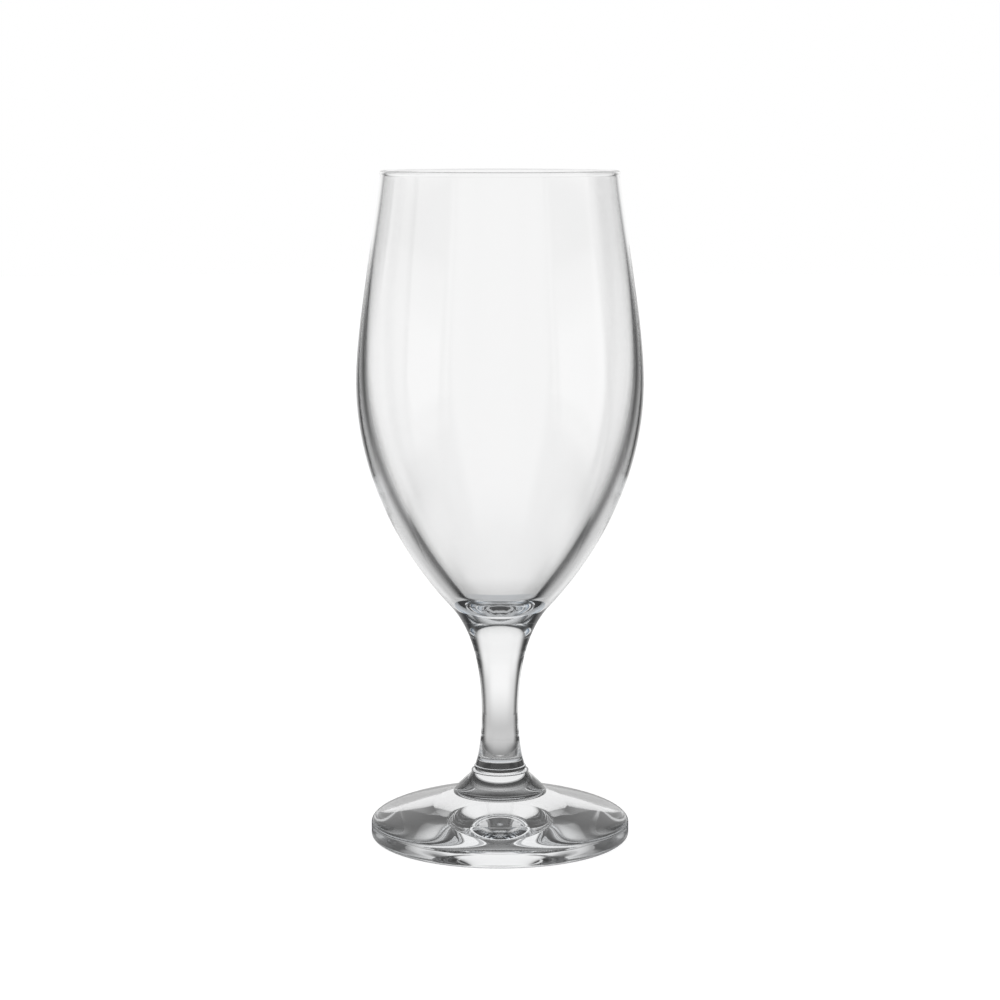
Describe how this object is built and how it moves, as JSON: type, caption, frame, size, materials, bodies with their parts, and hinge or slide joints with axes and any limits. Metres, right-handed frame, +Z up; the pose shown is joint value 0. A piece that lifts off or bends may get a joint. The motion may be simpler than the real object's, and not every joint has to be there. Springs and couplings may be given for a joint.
{
  "type": "stemmed beer glass",
  "caption": "Stemmed beer glass: a tall tulip bowl, drawn in a little at its rim, on a short waisted stem with a ringed collar and a broad round foot.",
  "frame": {"origin": "centre of the flat ring that the foot rests on", "axes": "+Z up along the glass's axis, from the foot to the rim; +X and +Y are any two square directions, because the glass is round"},
  "size_m": [0.0832, 0.0832, 0.195],
  "materials": {
    "clear_glass": "clear, fire polished, faintly grey-green where it is thick"
  },
  "bodies": {
    "root": {"foot": "clear_glass", "collar": "clear_glass", "stem": "clear_glass", "bowl": "clear_glass"}
  },
  "joints": []
}
